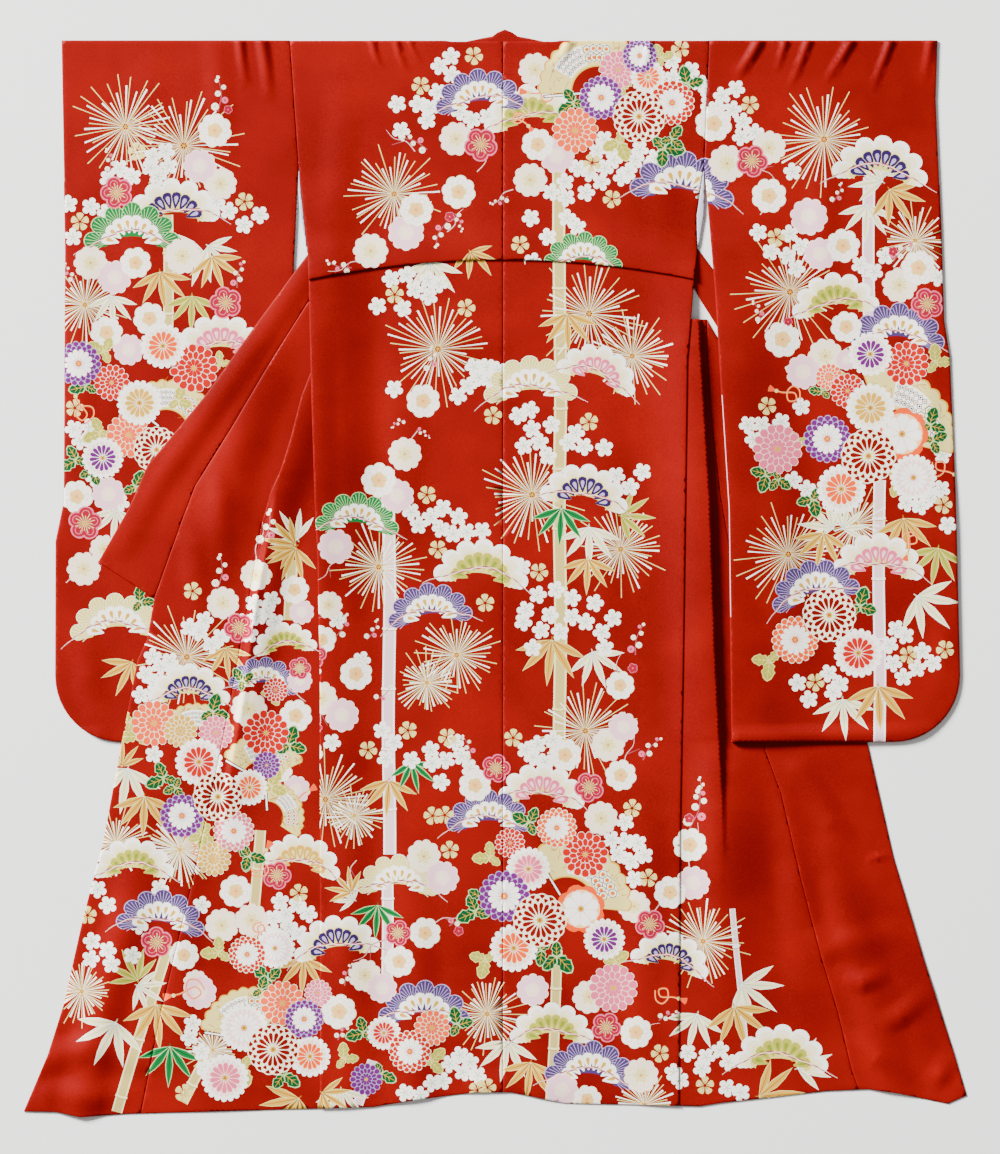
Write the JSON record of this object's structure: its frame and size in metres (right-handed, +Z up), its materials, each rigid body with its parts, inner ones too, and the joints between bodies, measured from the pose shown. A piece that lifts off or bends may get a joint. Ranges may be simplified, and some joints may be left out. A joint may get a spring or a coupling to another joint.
{
  "type": "furisode",
  "caption": "Formal long-sleeved robe of patterned silk with a sewn waist tuck and an open collar strip, laid flat with its back up.",
  "frame": {"origin": "middle of the garment's plan box, on the surface that it lies on", "axes": "+Y towards the shoulders, +X to the right as seen from above with the shoulders up, +Z up from the surface"},
  "size_m": [1.4896, 1.7218, 0.0132],
  "materials": {
    "printed_silk": "crepe silk, dyed red with flower and leaf patterns, soft sheen",
    "red_silk": "plain red crepe silk, soft sheen",
    "collar_silk": "plain red crepe silk, pressed in a strip",
    "lining_silk": "smooth pale lilac-grey lining silk"
  },
  "bodies": {
    "root": {"back_left": "printed_silk", "back_right": "printed_silk", "front_left": "printed_silk", "front_right": "printed_silk", "front_top_left": "lining_silk", "front_top_right": "lining_silk", "okumi_left": "printed_silk", "okumi_right": "red_silk", "collar": "collar_silk", "sleeve_left": "printed_silk", "sleeve_right": "printed_silk", "lining_left": "lining_silk", "lining_right": "lining_silk"}
  },
  "joints": []
}
